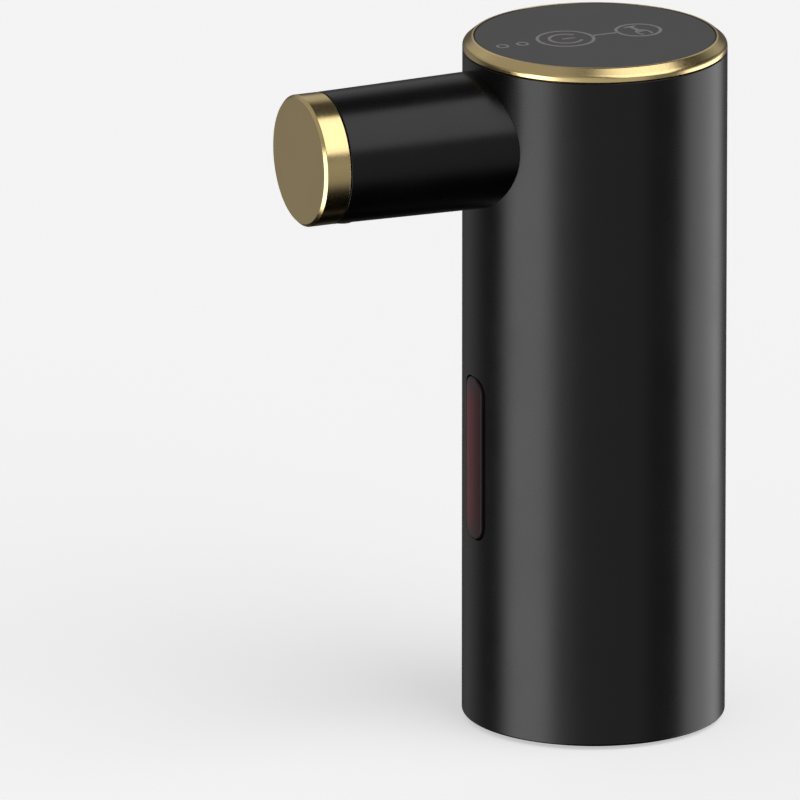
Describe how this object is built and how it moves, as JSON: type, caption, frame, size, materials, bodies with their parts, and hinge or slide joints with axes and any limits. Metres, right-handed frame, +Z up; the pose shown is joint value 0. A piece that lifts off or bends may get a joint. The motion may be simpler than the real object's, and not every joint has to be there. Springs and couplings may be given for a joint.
{
  "type": "wine dispenser",
  "caption": "Rechargeable dispenser that stands over a bottle's neck: upright round body, level spout with gold cap, touch panel in a gold ring, motor and gear pump inside.",
  "frame": {"origin": "on the plane that the foot ring stands on, under the middle of the whole object; the body's axis is 21.6 mm behind it", "axes": "+Z up along the body, -Y out along the spout, X across"},
  "size_m": [0.06, 0.1032, 0.16],
  "materials": {
    "shell_black": "satin",
    "base_black": "matte",
    "gold": "satin",
    "panel_gloss": "gloss",
    "lens_red": "gloss",
    "soft_black": "matte",
    "silicone_clear": "satin",
    "inner_grey": "matte",
    "pump_white": "satin",
    "gear_resin": "satin",
    "stainless": "satin",
    "zinc_plate": "satin",
    "ferrite": "matte",
    "lamination": "satin",
    "copper": "satin",
    "cell_blue": "satin",
    "board_green": "satin",
    "light_pipe_clear": "gloss",
    "lead_red": "satin",
    "lead_black": "satin",
    "lead_white": "satin"
  },
  "bodies": {
    "housing": {"air_valve": "soft_black", "base_plate": "base_black", "base_screw_1": "zinc_plate", "base_screw_2": "zinc_plate", "base_screw_3": "zinc_plate", "battery_cell": "cell_blue", "battery_lead": "lead_red", "body_shell": "shell_black", "bottle_stopper": "silicone_clear", "charge_board": "board_green", "charge_lead": "lead_white", "check_spring": "stainless", "check_valve_body": "pump_white", "deck": "inner_grey", "foot_ring": "soft_black", "frame_post_1": "zinc_plate", "frame_post_2": "zinc_plate", "light_bar_board": "board_green", "light_lead": "lead_white", "light_lens": "lens_red", "light_pipe": "light_pipe_clear", "main_board": "board_green", "motor_can": "zinc_plate", "motor_end_bell": "pump_white", "motor_lead": "lead_black", "motor_magnet_1": "ferrite", "motor_magnet_2": "ferrite", "neck_grip_ring": "soft_black", "neck_liner": "inner_grey", "outlet_hose": "silicone_clear", "outlet_nozzle": "soft_black", "pump_body": "pump_white", "pump_cover": "pump_white", "pump_gasket": "soft_black", "pump_screw_1": "zinc_plate", "pump_screw_2": "zinc_plate", "pump_screw_3": "zinc_plate", "shaft_seal": "soft_black", "spout_cap": "gold", "spout_screw_1": "zinc_plate", "spout_screw_2": "zinc_plate", "spout_tube": "shell_black", "suction_nipple": "stainless", "top_ring": "gold", "touch_panel": "panel_gloss", "touch_spring_1": "stainless", "touch_spring_2": "stainless", "upper_frame": "inner_grey", "usb_socket": "stainless"},
    "rotor": {"motor_shaft": "stainless", "drive_gear": "gear_resin", "armature_core": "lamination", "armature_winding_1": "copper", "armature_winding_2": "copper", "armature_winding_3": "copper", "commutator": "copper"},
    "idler": {"driven_gear": "gear_resin"},
    "port_cover": {"port_flap": "soft_black"},
    "valve_ball": {"check_ball": "stainless"}
  },
  "joints": [
    {"name": "motor_spin", "type": "hinge", "parent": "housing", "child": "rotor", "pos_m": [-0.006, 0.0186, 0.115], "axis": [0, 0, 1], "continuous": true},
    {"name": "idler_spin", "type": "hinge", "parent": "housing", "child": "idler", "pos_m": [0.006, 0.0186, 0.095], "axis": [0, 0, 1], "continuous": true},
    {"name": "flap_hinge", "type": "hinge", "parent": "housing", "child": "port_cover", "pos_m": [-0.0083, 0.05035, 0.024], "axis": [0, 0, 1], "range_deg": [0, 110]},
    {"name": "ball_lift", "type": "slide", "parent": "housing", "child": "valve_ball", "axis": [0, -1, 0], "range_m": [0, 0.0015], "stiffness_N_per_m": 40, "springref_m": -0.003, "deforming": ["check_spring"]}
  ],
  "couplings": [
    {"joint": "idler_spin", "follows": "motor_spin", "ratio": -1}
  ]
}
